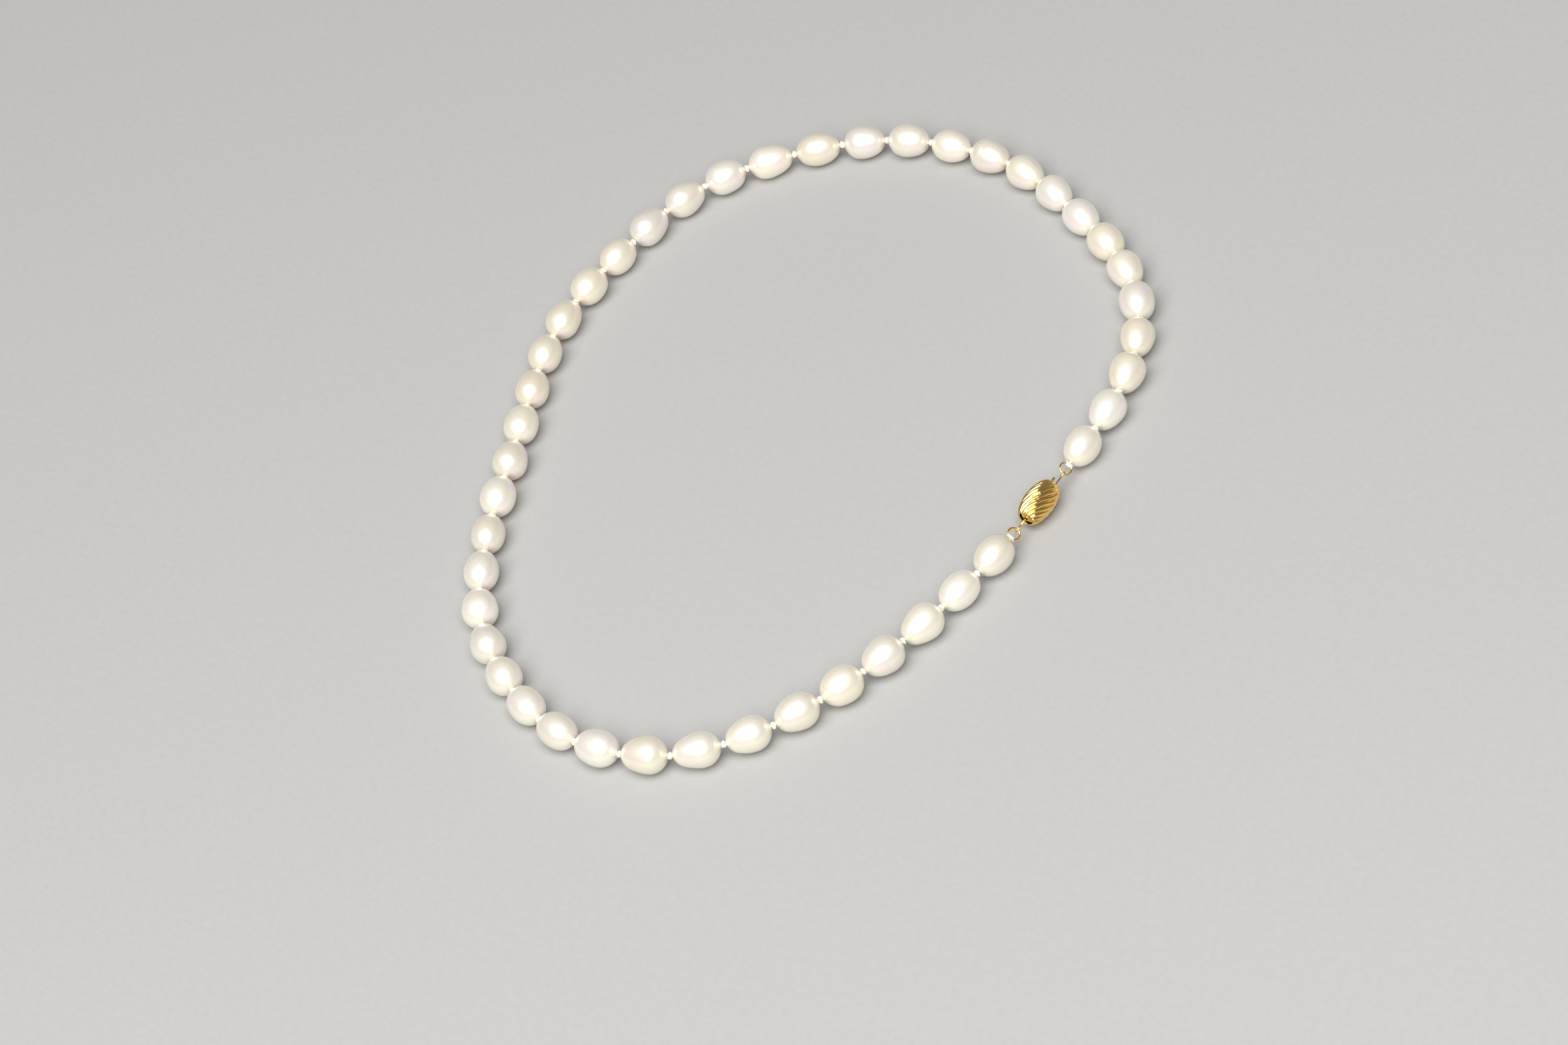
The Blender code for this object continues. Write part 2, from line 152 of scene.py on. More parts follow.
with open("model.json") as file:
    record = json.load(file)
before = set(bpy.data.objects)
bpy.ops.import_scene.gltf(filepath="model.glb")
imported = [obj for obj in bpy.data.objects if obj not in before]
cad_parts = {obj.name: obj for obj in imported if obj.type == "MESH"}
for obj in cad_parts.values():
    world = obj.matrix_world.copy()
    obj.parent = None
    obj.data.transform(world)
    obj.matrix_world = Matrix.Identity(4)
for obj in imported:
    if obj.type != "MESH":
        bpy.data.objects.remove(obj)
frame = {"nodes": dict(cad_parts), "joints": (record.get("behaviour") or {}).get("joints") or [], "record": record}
cad_low, cad_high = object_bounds()
bodies = frame["record"]["behaviour"]["bodies"]
body_of_node = {node: body for body, nodes in bodies.items() for node in nodes}
joints = {joint["name"]: joint for joint in frame["joints"]}


ODD_DIRECTION = (0.31, 0.17, 0.93)  # along no path's start

# Mesh tools


def points_of(node):
    """The node's separate points, at rest, as an array."""
    mesh = frame["nodes"][node].data
    found = np.zeros(len(mesh.vertices) * 3, np.float32)
    mesh.vertices.foreach_get("co", found)
    return np.unique(np.round(found.reshape(-1, 3).astype(float), 7), axis=0)


def faces_inwards(points, quads):
    """True if the quads of a nearly closed mesh wind the wrong way round."""
    a, b, c, d = (points[quads[:, i]] - points.mean(0) for i in range(4))
    return float((np.cross(c - a, d - b) * (a + c)).sum()) < 0


def skin(name, grid, loop, material):
    """A closed mesh over a grid of points whose rows are rings. loop joins the last ring to the first."""
    rows, sides = grid.shape[:2]
    points = grid.reshape(-1, 3)
    index = np.arange(rows * sides).reshape(rows, sides)
    here = index if loop else index[:-1]
    there = np.roll(index, -1, 0) if loop else index[1:]
    corners = (here, np.roll(here, -1, 1), np.roll(there, -1, 1), there)
    quads = np.stack([corner.ravel() for corner in corners], axis=1)
    faces = quads.tolist()
    if not loop:
        faces += [index[0, ::-1].tolist(), index[-1].tolist()]
    if faces_inwards(points, quads):
        faces = [face[::-1] for face in faces]
    mesh = bpy.data.meshes.new(name)
    mesh.from_pydata(points.tolist(), [], faces)
    mesh.materials.append(material)
    mesh.shade_smooth()
    return mesh


def joined(name, meshes):
    """One mesh that holds the given ones, which share a material."""
    points, faces = [], []
    for mesh in meshes:
        start = len(points)
        points += [tuple(v.co) for v in mesh.vertices]
        faces += [tuple(start + i for i in polygon.vertices) for polygon in mesh.polygons]
    made = bpy.data.meshes.new(name)
    made.from_pydata(points, [], faces)
    made.materials.append(meshes[0].materials[0])
    made.shade_smooth()
    return made


def tube(name, path, radius, sides, loop, material, plies=0, twists=0, relief=0.0):
    """A tube along a path. With plies it is a rope of that many strands, which makes twists full turns."""
    path = np.asarray(path, float)
    count = len(path)
    if loop:
        ahead, behind = np.roll(path, -1, 0), np.roll(path, 1, 0)
    else:
        ahead, behind = np.vstack([path[1:], path[-1:]]), np.vstack([path[:1], path[:-1]])
    tangents = ahead - behind
    tangents /= np.linalg.norm(tangents, axis=1)[:, None]
    normals = np.zeros_like(path)
    start = np.cross(tangents[0], ODD_DIRECTION)
    normals[0] = start / np.linalg.norm(start)
    for i in range(1, count):
        carried = normals[i - 1] - tangents[i] * (normals[i - 1] @ tangents[i])
        normals[i] = carried / np.linalg.norm(carried)
    slip = 0.0
    if loop:
        last = normals[-1] - tangents[0] * (normals[-1] @ tangents[0])
        slip = math.atan2(np.cross(last, normals[0]) @ tangents[0], last @ normals[0])
    shares = np.arange(count) / (count if loop else count - 1)
    angles = np.linspace(0, 2 * math.pi, sides, endpoint=False)
    turned = angles[None, :] + slip * shares[:, None]
    sideways = np.cross(tangents, normals)
    ropes = plies * angles[None, :] - 2 * math.pi * twists * shares[:, None]
    reach = radius * (1 + relief * np.cos(ropes))
    grid = (
        path[:, None, :]
        + (np.cos(turned) * reach)[:, :, None] * normals[:, None, :]
        + (np.sin(turned) * reach)[:, :, None] * sideways[:, None, :]
    )
    return skin(name, grid, loop, material)


def lathe(name, profile, sides, loop, material):
    """A profile of (radius, height) turned about local Z."""
    angles = np.linspace(0, 2 * math.pi, sides, endpoint=False)
    profile = np.asarray(profile, float)
    grid = np.stack(
        [
            profile[:, :1] * np.cos(angles),
            profile[:, :1] * np.sin(angles),
            np.repeat(profile[:, 1:], sides, axis=1),
        ],
        axis=2,
    )
    return skin(name, grid, loop, material)


def place(name, mesh, matrix, body, slot, *nodes):
    """Puts a mesh in the frame, on its body, standing for the given CAD nodes."""
    piece = bpy.data.objects.new(name, mesh)
    bpy.context.scene.collection.objects.link(piece)
    piece.matrix_world = matrix
    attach(piece, body)
    if nodes:
        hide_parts(*nodes)
    return piece


def axes_at(point, x_axis, z_axis):
    """A placement at point with local Z along z_axis and local X as near as it can be to x_axis."""
    x_axis, z_axis = Vector(x_axis).normalized(), Vector(z_axis).normalized()
    y_axis = z_axis.cross(x_axis).normalized()
    return Matrix.Translation(point) @ Matrix((x_axis, y_axis, z_axis)).transposed().to_4x4()


# Materials


class Shader:
    """A material with one Principled BSDF, and short ways to add nodes to it."""

    def __init__(self, name, **values):
        self.material = bpy.data.materials.new(name)
        self.material.use_nodes = True
        self.tree = self.material.node_tree
        self.surface = self.tree.nodes["Principled BSDF"]
        for socket, value in values.items():
            self.surface.inputs[socket.replace("_", " ")].default_value = value

    def node(self, kind, **inputs):
        made = self.tree.nodes.new(kind)
        for socket, value in inputs.items():
            self.feed(made, socket.replace("_", " "), value)
        return made

    def feed(self, node, socket, value):
        if isinstance(value, bpy.types.NodeSocket):
            self.tree.links.new(value, node.inputs[socket])
        else:
            node.inputs[socket].default_value = value

    def local(self):
        return self.tree.nodes.new("ShaderNodeTexCoord").outputs["Object"]

    def grain(self, scale, detail=2.0, roughness=0.5, distortion=0.0, vector=None):
        return self.node(
            "ShaderNodeTexNoise",
            Vector=vector or self.local(),
            Scale=scale,
            Detail=detail,
            Roughness=roughness,
            Distortion=distortion,
        ).outputs["Fac"]

    def ramp(self, factor, *stops):
        made = self.tree.nodes.new("ShaderNodeValToRGB")
        elements = made.color_ramp.elements
        for _ in range(len(stops) - 2):
            elements.new(0.5)
        for element, (position, colour) in zip(elements, stops):
            element.position = position
            element.color = (*colour, 1)
        self.feed(made, "Fac", factor)
        return made.outputs["Color"]

    def spread(self, factor, low, high):
        """Maps the middle of a noise, 0.3 to 0.7, to the range from low to high."""
        made = self.tree.nodes.new("ShaderNodeMapRange")
        for socket, value in (("From Min", 0.3), ("From Max", 0.7), ("To Min", low), ("To Max", high)):
            made.inputs[socket].default_value = value
        self.feed(made, "Value", factor)
        return made.outputs["Result"]

    def mix(self, kind, factor, a, b):
        made = self.tree.nodes.new("ShaderNodeMix")
        made.data_type = "RGBA"
        made.blend_type = kind
        for index, value in ((0, factor), (6, a), (7, b)):
            if isinstance(value, bpy.types.NodeSocket):
                self.tree.links.new(value, made.inputs[index])
            else:
                made.inputs[index].default_value = value
        return made.outputs[2]

    def bump(self, height, strength, distance, before=None):
        made = self.node("ShaderNodeBump", Height=height, Strength=strength, Distance=distance)
        if before:
            self.tree.links.new(before, made.inputs["Normal"])
        return made.outputs["Normal"]

    def set(self, **sockets):
        for socket, value in sockets.items():
            self.feed(self.surface, socket.replace("_", " "), value)


def nacre_material():
    """Nacre: a body colour that drifts between cream, rose and green, under a clear, satin lustre."""
    nacre = Shader(
        "nacre",
        Metallic=0.42,
        IOR=1.62,
        Subsurface_Weight=0.25,
        Subsurface_Radius=(1.0, 0.72, 0.42),
        Subsurface_Scale=1.1 * MM,
        Coat_Weight=0.2,
        Coat_Roughness=0.32,
        Coat_IOR=1.5,
    )
    tone = nacre.tree.nodes.new("ShaderNodeAttribute")
    tone.attribute_name = "tone"
    clouds = nacre.grain(1 / (3.4 * MM), detail=2.5)
    overtone = nacre.ramp(
        clouds,
        (0.32, (0.96, 0.92, 0.78)),
        (0.48, (0.98, 0.91, 0.77)),
        (0.64, (0.99, 0.88, 0.81)),
    )
    colour = nacre.mix("MULTIPLY", 1.0, overtone, tone.outputs["Color"])
    waves = nacre.grain(1 / (1.5 * MM), detail=1.0)
    nacre.set(Base_Color=colour, Roughness=nacre.spread(waves, 0.285, 0.335))
    return nacre.material


def gold_material(name, colour, low, high):
    """Polished gold, slightly dented, with a fine cloudy wear that takes its roughness from low to high."""
    gold = Shader(name, Metallic=1.0, IOR=1.5)
    wear = gold.grain(1 / (0.5 * MM), detail=4.0, roughness=0.65)
    shade = gold.ramp(wear, (0.3, tuple(c**1.25 for c in colour)), (0.7, colour))
    scratches = gold.grain(1 / (0.12 * MM), detail=2.0, distortion=1.5)
    dents = gold.grain(1 / (0.9 * MM), detail=1.0)
    gold.set(
        Base_Color=shade,
        Roughness=gold.spread(wear, low, high),
        Normal=gold.bump(scratches, 0.1, 0.003 * MM, gold.bump(dents, 0.5, 0.06 * MM)),
    )
    return gold.material


def silk_material():
    """Twisted silk: cream, with painted shade in the fibres' valleys and painted highlight on their crests, and
    the sheen of fine fibres.
    """
    silk = Shader(
        "silk",
        Metallic=0.0,
        IOR=1.5,
        Subsurface_Weight=0.3,
        Subsurface_Radius=(1.0, 0.85, 0.6),
        Subsurface_Scale=0.25 * MM,
        Sheen_Weight=0.5,
        Sheen_Roughness=0.4,
    )
    fibres = silk.grain(1 / (0.07 * MM), detail=4.0, distortion=0.4)
    # the same noise as the bump: the fibres' tone varies, with painted shade in the bump's valleys and painted
    # highlight on its crests
    colour = silk.ramp(fibres, (0.3, (0.80, 0.75, 0.62)), (0.62, (0.95, 0.92, 0.83)))
    silk.set(
        Base_Color=colour,
        Roughness=silk.spread(fibres, 0.5, 0.7),
        Normal=silk.bump(fibres, 0.5, 0.012 * MM),
    )
    return silk.material


def floor_material():
    """Matt paper, near white, with the faintest flecks."""
    paper = Shader("floor_paper", IOR=1.45)
    flecks = paper.grain(1 / (1.2 * MM), detail=4.0)
    paper.set(
        Base_Color=paper.ramp(flecks, (0.3, (0.415, 0.415, 0.41)), (0.7, (0.43, 0.43, 0.425))),
        Roughness=paper.spread(flecks, 0.55, 0.68),
    )
    return paper.material


# Pearls


class Pearl:
    """A pearl's place and size, read from the points of its CAD node."""

    def __init__(self, number):
        self.number = number
        self.node = f"pearl_{number:02d}"
        self.body = body_of_node[self.node]
        points = points_of(self.node)
        self.centre = points.mean(0)
        spread = np.cov((points - self.centre).T)
        self.axis = np.linalg.eigh(spread)[1][:, -1]
        self.points = points - self.centre

    def face(self, target):
        """Turns the axis towards target, then measures the pearl along it."""
        if self.axis @ (target - self.centre) < 0:
            self.axis = -self.axis
        heights = self.points @ self.axis
        radii = np.linalg.norm(self.points - np.outer(heights, self.axis), axis=1)
        self.half_length = heights.max()
        self.radius = radii.max()
        shares = np.clip(heights / self.half_length, -1, 1)
        outer = radii > 1.02 * HOLE_RADIUS
        outer &= np.abs(shares) > 0.1  # the ring on the equator says nothing about the ends
        lean = np.abs(shares) * (1 - shares**2) ** 1.5
        self.egg = float((radii * np.sign(shares))[outer].sum() / (self.radius * lean[outer].sum()))
        self.matrix = axes_at(Vector(self.centre), (0, 0, 1), self.axis)

    def tip(self, side):
        return Vector(self.centre) + Vector(self.axis) * self.half_length * side


def lump(direction, seed, radius, height, size):
    """A smooth unevenness that a point of the surface gets from noise."""
    at = direction * (radius / size) + Vector((seed * 7.31, seed * 3.17, seed * 5.77))
    return height * noise.noise(at)


def pearl_grid(pearl, draw):
    """The outside from one lip of the drill hole to the other, then the wall of the hole."""
    lip = MOUTH_RADIUS + HOLE_LIP
    first = math.asin(lip / pearl.radius)
    seed = draw.uniform(0, 50)
    oval = draw.uniform(0.0, MOST_OVAL)
    oval_turn = draw.uniform(0, math.pi)
    blunt = draw.uniform(*BLUNTNESS)
    belt = draw.uniform(*BELT_PLACES)
    belt_depth = draw.choice(BELT_DEPTHS)
    turns = [2 * math.pi * j / PEARL_SIDES for j in range(PEARL_SIDES)]
    rows = []
    for k in range(PEARL_ROWS + 1):
        angle = first + (math.pi - 2 * first) * k / PEARL_ROWS
        c, s = math.cos(angle), math.sin(angle)
        swell = (1 + pearl.egg * c * s * s) * (1 + blunt * (c * s) ** 2)
        groove = belt_depth * math.exp(-(((c - belt) / BELT_WIDTH) ** 2))
        row = []
        for turn in turns:
            direction = Vector((s * math.cos(turn), s * math.sin(turn), c))
            relief = lump(direction, seed, pearl.radius, LUMP_HEIGHT, LUMP_SIZE)
            relief += lump(direction, seed + 9, pearl.radius, RIPPLE_HEIGHT, RIPPLE_SIZE)
            relief = (relief - LUMP_HEIGHT * LUMPS_SINK) * s * s
            girth = pearl.radius * s * swell * (1 - oval * math.cos(turn - oval_turn) ** 2)
            reach = girth + (relief - groove) * s
            height = (pearl.half_length + relief * c) * c
            row.append((reach * math.cos(turn), reach * math.sin(turn), height))
        rows.append(row)
    top = rows[0][0][2]
    bottom = rows[-1][0][2]
    for end, side, steps in ((bottom, -1, range(LIP_ROWS)), (top, 1, reversed(range(LIP_ROWS)))):
        for k in steps:
            bend = math.pi / 2 * (k + 1) / LIP_ROWS
            radius = lip - HOLE_LIP * math.sin(bend)
            height = end - side * HOLE_LIP * (1 - math.cos(bend))
            rows.append([(radius * math.cos(turn), radius * math.sin(turn), height) for turn in turns])
    return np.array(rows)


def add_tone(mesh, colour):
    """Gives every point of a mesh the pearl's own tint, which the material multiplies in."""
    attribute = mesh.color_attributes.new("tone", "FLOAT_COLOR", "POINT")
    attribute.data.foreach_set("color", np.tile((*colour, 1.0), len(mesh.vertices)))


def add_pearls(nacre):
    """Every pearl, with its axis towards the next one."""
    pearls = [Pearl(i + 1) for i in range(PEARL_COUNT)]
    draw = random.Random(4)
    for i, pearl in enumerate(pearls):
        if i + 1 < PEARL_COUNT:
            pearl.face(pearls[i + 1].centre)
        else:
            pearl.face(2 * pearl.centre - pearls[i - 1].centre)
        mesh = skin(pearl.node, pearl_grid(pearl, draw), True, nacre)
        warm = draw.uniform(-1, 1)
        light = draw.uniform(*LIGHTNESS)
        add_tone(mesh, (light * (1 + WARM_RED * warm), light, light * (1 - WARM_BLUE * warm)))
        place(f"nacre_{pearl.node}", mesh, pearl.matrix, pearl.body, "pearl", pearl.node)
    return pearls


# Silk


def knot_mesh(silk):
    """An overhand knot pulled tight: a closed curve, twice about the thread and three times through."""
    path = []
    for k in range(KNOT_STEPS):
        t = 2 * math.pi * k / KNOT_STEPS
        reach = KNOT_TURN_RADIUS + KNOT_CROSS_RADIUS * math.cos(3 * t)
        path.append((reach * math.cos(2 * t), reach * math.sin(2 * t), KNOT_CROSS_RADIUS * math.sin(3 * t)))
    rope = (THREAD_PLIES, KNOT_TWISTS, KNOT_RELIEF)
    return tube("silk_knot", path, KNOT_STRAND, ROPE_SIDES, True, silk, *rope)


def thread_mesh(name, length, silk):
    """A straight piece of twisted thread, with its middle at the origin."""
    path = [(0, 0, length * (k / THREAD_STEPS - 0.5)) for k in range(THREAD_STEPS + 1)]
    twists = length / THREAD_PITCH
    return tube(name, path, THREAD_RADIUS, ROPE_SIDES, False, silk, THREAD_PLIES, twists, ROPE_RELIEF)


def add_bending_knot(name, mesh, matrix, before, after):
    """A knot on a fold of the strand, between pearls on different bodies: baked in place at rest, on no body."""
    piece = bpy.data.objects.new(name, mesh)
    bpy.context.scene.collection.objects.link(piece)
    piece.matrix_world = matrix
    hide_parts("silk_thread")
    before.tip(1)
    after.tip(-1)
    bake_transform(piece)


def add_silk(pearls, silk):
    """The knotted thread, cut at the knots: each pearl carries its own length of it.

    A knot rides with the pearl before it, except on a fold.
    """
    draw = random.Random(7)
    knot = knot_mesh(silk)
    knots = []
    for before, after in zip(pearls, pearls[1:]):
        a, b = before.tip(1), after.tip(-1)
        middle = (a + b) / 2
        way = (Vector(before.axis) + Vector(after.axis)).normalized()
        turn = Matrix.Rotation(draw.uniform(0, 2 * math.pi), 4, "Z")
        wide, deep, high = draw.uniform(*KNOT_WIDTHS), draw.uniform(*KNOT_WIDTHS), draw.uniform(*KNOT_HEIGHTS)
        scale = Matrix.Diagonal((wide, deep, high, 1))
        matrix = axes_at(middle, Vector((0, 0, 1)) - way * way.z, way) @ turn @ scale
        name = f"silk_knot_{before.number:02d}"
        if before.body == after.body:
            place(name, knot, matrix, before.body, "silk", "silk_thread")
        else:
            add_bending_knot(name, knot.copy(), matrix, before, after)
        knots.append(middle)
    for i, pearl in enumerate(pearls):
        start = knots[i - 1] if i else pearl.tip(-1)
        end = knots[i] if i + 1 < len(pearls) else pearl.tip(1)
        length = (end - start).length
        mesh = thread_mesh(f"silk_length_{pearl.number:02d}", length, silk)
        way = (end - start).normalized()
        matrix = axes_at((start + end) / 2, Vector((0, 0, 1)) - way * way.z, way)
        place(f"silk_length_{pearl.number:02d}", mesh, matrix, pearl.body, "silk", "silk_thread")


# The clasp


class Clasp:
    """The clasp's own axes, and what its CAD nodes measure along them.

    Local X runs along the clasp from the case's ring to the hook's ring, local Z is square to the jump rings,
    and the origin is on the axis of the lower ring's swivel.
    """

    def __init__(self):
        lower, leaf = joints["clasp_lower_ring_swivel"], joints["clasp_leaf_press"]
        self.matrix = axes_at(Vector(lower["pos_m"]), lower["axis"], -Vector(leaf["axis"]))
        self.into = np.array(self.matrix.inverted())

    def points(self, node):
        found = points_of(node)
        return found @ self.into[:3, :3].T + self.into[:3, 3]

    def box(self, node):
        found = self.points(node)
        return found.min(0), found.max(0)

    def at(self, x, y=0.0, z=0.0):
        return self.matrix @ Matrix.Translation((x, y, z))


def about(degrees, axis):
    return Matrix.Rotation(math.radians(degrees), 4, axis)


def flute(angle):
    """From 0 in the valley between two ribs to 1 on a rib's crest: the upper part of a circle's arc."""
    across = (FLUTES * angle / (2 * math.pi)) % 1.0 * 2 - 1
    valley = math.sqrt(1 - RIB_SPAN**2)
    return (math.sqrt(1 - (RIB_SPAN * across) ** 2) - valley) / (1 - valley)


def uneven_flute(angle, x):
    """The flute that a hand-twisted case has at this place: no two ribs quite alike."""
    around = Vector((math.cos(angle), math.sin(angle), x / RIB_DRIFT))
    stray = RIB_WOBBLE * noise.noise(around * WOBBLE_SCALE) * 2 * math.pi / FLUTES
    deeper = 1 + RIB_UNEVENNESS * noise.noise(around * UNEVENNESS_SCALE + Vector((5, 5, 5)))
    return 1 - (1 - flute(angle + stray)) * deeper


def add_case(clasp, gold):
    """The hollow case: ribs outside, rounded ends, and a smooth inside."""
    low, high = clasp.box("case_barrel")
    start, end = low[0], high[0]
    half = (end - start) / 2
    points = clasp.points("case_barrel")
    radii = np.linalg.norm(points[:, 1:], axis=1)
    at_end = np.abs(points[:, 0] - start) < SAME_PLACE
    widest, end_radius, bore = radii.max(), radii[at_end].max(), radii[at_end].min()
    wall = end_radius - bore
    share = 1 - (end_radius / widest) ** 2
    sides = FLUTES * SIDES_PER_FLUTE
    angles = np.linspace(0, 2 * math.pi, sides, endpoint=False)
    rows = []

    def ring(x, radius, depth, inset=0.0):
        turn = FLUTE_TWIST * x / (2 * half)
        ribs = np.array([uneven_flute(a, x) for a in angles])
        reach = radius - inset - depth * (1 - ribs)
        around, across = reach * np.cos(angles + turn), reach * np.sin(angles + turn)
        rows.append(np.stack([around, across, np.full(sides, x)], axis=1))

    lip = wall * RIM_SHARE
    edge_depth = FLUTE_DEPTH * end_radius / widest

    def outer_rim(side, k):
        """Ring k of the rounding from the case's outside to its end, at the start (-1) or the mouth (1)."""
        bend = math.pi / 2 * k / RIM_ROWS
        x = side * (half - lip * (1 - math.sin(bend)))
        ring(x, end_radius, edge_depth * (1 - RIM_FADE * k / RIM_ROWS), lip * (1 - math.cos(bend)))

    def bore_rim(side, k):
        """Ring k of the rounding from that end to the inside."""
        bend = math.pi / 2 * k / RIM_ROWS
        ring(side * (half - lip * (1 - math.cos(bend))), bore, 0.0, -lip * (1 - math.sin(bend)))

    for k in range(CASE_ROWS + 1):
        x = (half - lip) * (2 * k / CASE_ROWS - 1)
        radius = widest * math.sqrt(1 - share * (x / half) ** 2)
        ring(x, radius, FLUTE_DEPTH * radius / widest)
    for k in range(1, RIM_ROWS + 1):
        outer_rim(1, k)
    for k in range(RIM_ROWS + 1):
        bore_rim(1, k)
    for k in range(INNER_ROWS + 1):
        x = (half - lip) * (1 - 2 * k / INNER_ROWS)
        radius = widest * math.sqrt(1 - share * (x / half) ** 2) - wall
        ring(x, max(radius, bore), 0.0)
    for k in reversed(range(RIM_ROWS + 1)):
        bore_rim(-1, k)
    for k in reversed(range(1, RIM_ROWS + 1)):
        outer_rim(-1, k)
    mesh = skin("fluted_case", np.array(rows), True, gold)
    matrix = clasp.at((start + end) / 2) @ about(90, "Y")
    place("fluted_case", mesh, matrix, body_of_node["case_barrel"], "gold", "case_barrel")


def circle(radius, steps):
    angles = np.linspace(0, 2 * math.pi, steps, endpoint=False)
    return [(radius * math.cos(t), radius * math.sin(t), 0) for t in angles]


def add_rings(clasp, gold):
    """Jump rings and eyes, as drawn wire bent round, in the places of their CAD nodes."""
    for node in ("jump_ring_lower", "jump_ring_upper", "case_eye", "hook_eye"):
        low, high = clasp.box(node)
        is_eye = node.endswith("_eye")
        wire = (high[1] - low[1]) / 2 if is_eye else (high[2] - low[2]) / 2
        radius = (high[0] - low[0]) / 2 - wire
        matrix = clasp.at(*((low + high) / 2))
        if is_eye:
            matrix = matrix @ about(90, "X")
        mesh = tube(f"wire_{node}", circle(radius, WIRE_STEPS), wire, WIRE_SIDES, True, gold)
        place(f"wire_{node}", mesh, matrix, body_of_node[node], "gold", node)


def add_end_cap(clasp, gold):
    """The recessed disc at the case's lower end with its soldered post."""
    low, high = clasp.box("case_end_cap")
    points = clasp.points("case_end_cap")
    radii = np.linalg.norm(points[:, 1:], axis=1)
    disc_radius = radii.max()
    disc_start = points[radii > 0.9 * disc_radius][:, 0].min()
    post_radius = radii[points[:, 0] < low[0] + SAME_PLACE].max()
    profile = [(PIN_TIP, high[0]), (disc_radius, high[0]), (disc_radius, disc_start + DISC_EDGE)]
    profile.append((disc_radius - DISC_EDGE, disc_start))
    for k in range(9):
        bend = math.pi / 2 * k / 8
        radius = post_radius + POST_FILLET * (1 - math.sin(bend))
        profile.append((radius, disc_start - POST_FILLET * (1 - math.cos(bend))))
    profile += [(post_radius, low[0] + 0.05 * MM), (post_radius * 0.8, low[0]), (PIN_TIP, low[0])]
    mesh = lathe("end_cap", profile, CAP_SIDES, False, gold)
    place("end_cap", mesh, clasp.at(0) @ about(90, "Y"), body_of_node["case_end_cap"], "gold", "case_end_cap")


def add_nib(clasp, gold):
    """The thumb nib: a turned pin with a domed head, along the leaf's own line."""
    points = points_of("hook_thumb_nib")
    centre = points.mean(0)
    axis = np.linalg.eigh(np.cov((points - centre).T))[1][:, -1]
    if axis @ np.array(clasp.matrix.col[0])[:3] < 0:
        axis = -axis
    heights = (points - centre) @ axis
    radius = np.linalg.norm(points - centre - np.outer(heights, axis), axis=1).max()
    low, high = heights.min(), heights.max()
    profile = [(PIN_TIP, low), (radius * 0.9, low), (radius, low + 0.03 * MM)]
    waist = low + NIB_WAIST * (high - low)
    profile += [(radius * 0.96, waist - 0.1 * MM), (radius * 0.8, waist), (radius * 0.98, waist + 0.1 * MM)]
    for k in range(10):
        bend = math.pi / 2 * k / 9
        profile.append((max(radius * math.cos(bend), PIN_TIP), high - radius * (1 - math.sin(bend))))
    mesh = lathe("thumb_nib", profile, NIB_SIDES, False, gold)
    matrix = axes_at(Vector(centre), (0, 0, 1), axis)
    place("thumb_nib", mesh, matrix, body_of_node["hook_thumb_nib"], "gold", "hook_thumb_nib")


def polish_strips(gold):
    """The flat strips and the slotted mouth plate keep their CAD meshes, with softened edges."""
    for node in ("hook_tongue", "hook_leaf", "case_mouth_plate"):
        strip = frame["nodes"][node]
        strip.data.materials.clear()
        strip.data.materials.append(gold)
        weld = strip.modifiers.new("Weld", "WELD")
        weld.merge_threshold = 0.001 * MM
        bevel = strip.modifiers.new("Soft edges", "BEVEL")
        bevel.width = STRIP_EDGE
        bevel.segments = 3
        bevel.angle_limit = math.radians(35)


def wound_loop(name, radius, core, wire, silk):
    """Fine thread wound round a loop, like the gimp that guards the strand at a clasp."""
    steps = GIMP_TURNS * GIMP_STEPS
    path = []
    for k in range(steps):
        t = 2 * math.pi * k / steps
        wind = GIMP_TURNS * t
        reach = radius + core * math.cos(wind)
        path.append((reach * math.cos(t), reach * math.sin(t), core * math.sin(wind)))
    winding = tube(name, path, wire, 8, True, silk)
    return joined(name, [winding, tube(name, circle(radius, 48), core, 12, True, silk)])


def ring_wrap(name, ring_radius, wire, middle, silk):
    """Turns of thread round the wire of a jump ring, over a short arc about the angle middle."""
    steps = WRAP_TURNS * WRAP_STEPS
    path = []
    for k in range(steps + 1):
        share = k / steps
        t = middle + WRAP_SPREAD * (share - 0.5)
        wind = 2 * math.pi * WRAP_TURNS * share
        core = wire + WRAP_THREAD * (0.9 + 0.12 * math.sin(5 * wind / WRAP_TURNS))
        reach = ring_radius + core * math.cos(wind)
        path.append((reach * math.cos(t), reach * math.sin(t), core * math.sin(wind)))
    return tube(name, path, WRAP_THREAD, 10, False, silk)


def add_gimp(clasp, silk):
    """The wound loops, and the silk's turns round the jump rings where they meet the end pearls."""
    for side, middle in (("lower", math.pi), ("upper", 0.0)):
        node = f"gimp_loop_{side}"
        low, high = clasp.box(node)
        thickness = (high[1] - low[1]) / 2
        radius = (high[0] - low[0]) / 2 - thickness
        core, wire = thickness * GIMP_CORE, thickness * GIMP_WIRE
        mesh = wound_loop(f"wound_{node}", radius, core, wire, silk)
        matrix = clasp.at(*((low + high) / 2)) @ about(90, "X")
        place(f"wound_{node}", mesh, matrix, body_of_node[node], "silk", node)

        ring = f"jump_ring_{side}"
        ring_low, ring_high = clasp.box(ring)
        wire = (ring_high[2] - ring_low[2]) / 2
        ring_radius = (ring_high[0] - ring_low[0]) / 2 - wire
        wrap = ring_wrap(f"silk_wrap_{side}", ring_radius, wire, middle, silk)
        matrix = clasp.at(*((ring_low + ring_high) / 2))
        place(f"silk_wrap_{side}", wrap, matrix, body_of_node[ring], "silk")


# The studio


def look_from(azimuth, elevation):
    """The direction out of the scene towards a viewer. Azimuth 0 is -Y, and 90 is +X."""
    a, e = math.radians(azimuth), math.radians(elevation)
    return Vector((math.sin(a) * math.cos(e), -math.cos(a) * math.cos(e), math.sin(e)))


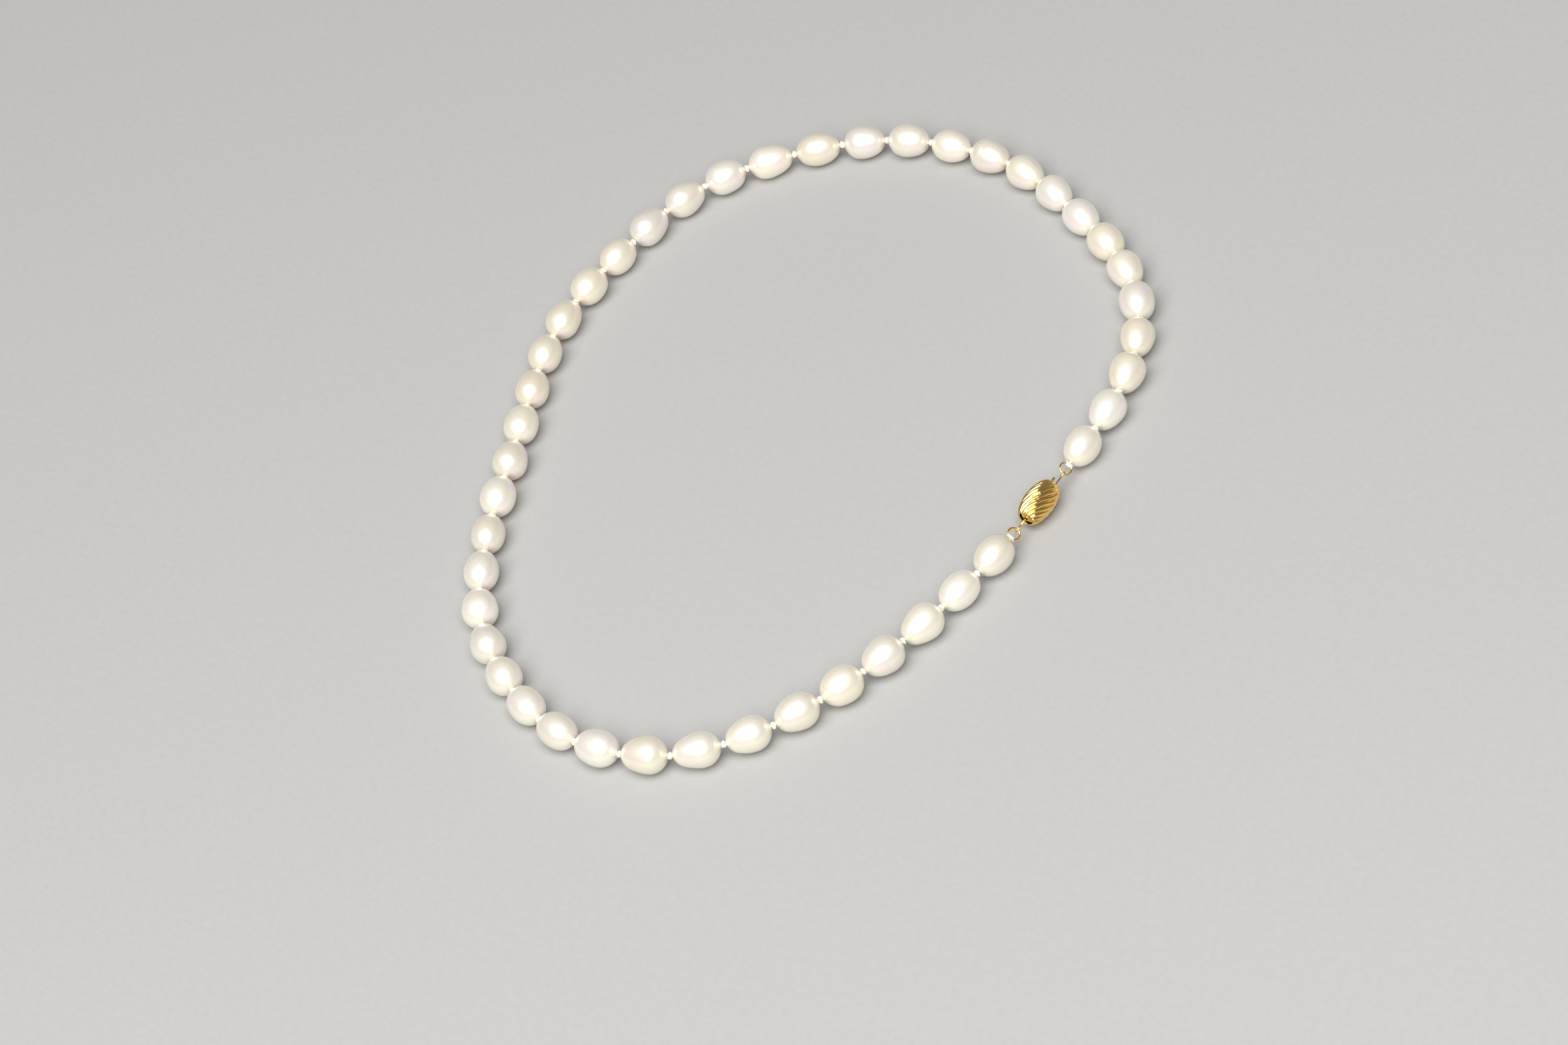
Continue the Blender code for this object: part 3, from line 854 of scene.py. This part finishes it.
def add_camera():
    back = look_from(CAMERA_AZIMUTH, CAMERA_ELEVATION)
    right = Vector((0, 0, 1)).cross(back).normalized()
    up = back.cross(right)
    roll = math.radians(CAMERA_ROLL)
    turned_right = right * math.cos(roll) + up * math.sin(roll)
    turned_up = up * math.cos(roll) - right * math.sin(roll)
    camera = bpy.data.objects.new("camera", bpy.data.cameras.new("camera"))
    bpy.context.scene.collection.objects.link(camera)
    camera.data.lens = CAMERA_LENS
    camera.data.sensor_width = 36
    camera.data.clip_start = 0.01
    camera.data.clip_end = 50
    turn = Matrix((turned_right, turned_up, back)).transposed().to_4x4()
    camera.matrix_world = Matrix.Translation(CAMERA_AIM + back * CAMERA_DISTANCE) @ turn
    bpy.context.scene.camera = camera


def add_softbox():
    """One large round soft light, from the camera's side."""
    light = bpy.data.objects.new("key_softbox", bpy.data.lights.new("key_softbox", "AREA"))
    bpy.context.scene.collection.objects.link(light)
    light.data.shape = "ELLIPSE"
    light.data.size = light.data.size_y = KEY_SIZE
    light.data.energy = KEY_POWER
    light.data.color = KEY_COLOUR
    direction = look_from(KEY_AZIMUTH, KEY_ELEVATION)
    turn = direction.to_track_quat("Z", "Y").to_matrix().to_4x4()
    light.matrix_world = Matrix.Translation(direction * KEY_DISTANCE) @ turn


def add_studio():
    mesh = bpy.data.meshes.new("floor")
    corners = [(x * FLOOR_HALF, y * FLOOR_HALF, 0) for x, y in ((-1, -1), (1, -1), (1, 1), (-1, 1))]
    mesh.from_pydata(corners, [], [(0, 1, 2, 3)])
    mesh.materials.append(floor_material())
    floor = bpy.data.objects.new("floor", mesh)
    bpy.context.scene.collection.objects.link(floor)
    floor.location.z = cad_low.z - FLOOR_DROP

    add_softbox()
    world = bpy.data.worlds.new("studio")
    world.use_nodes = True
    sky = world.node_tree.nodes["Background"]
    sky.inputs["Color"].default_value = SKY_COLOUR
    sky.inputs["Strength"].default_value = SKY_STRENGTH
    bpy.context.scene.world = world
    bpy.context.scene.view_settings.view_transform = "Standard"


nacre = nacre_material()
case_gold = gold_material("case_gold", (1.0, 0.71, 0.26), 0.09, 0.18)
wire_gold = gold_material("wire_gold", (1.0, 0.72, 0.30), 0.12, 0.2)
silk = silk_material()

pearls = add_pearls(nacre)
add_silk(pearls, silk)
clasp = Clasp()
add_case(clasp, case_gold)
add_end_cap(clasp, case_gold)
add_rings(clasp, wire_gold)
add_nib(clasp, wire_gold)
polish_strips(wire_gold)
add_gimp(clasp, silk)
add_camera()
add_studio()
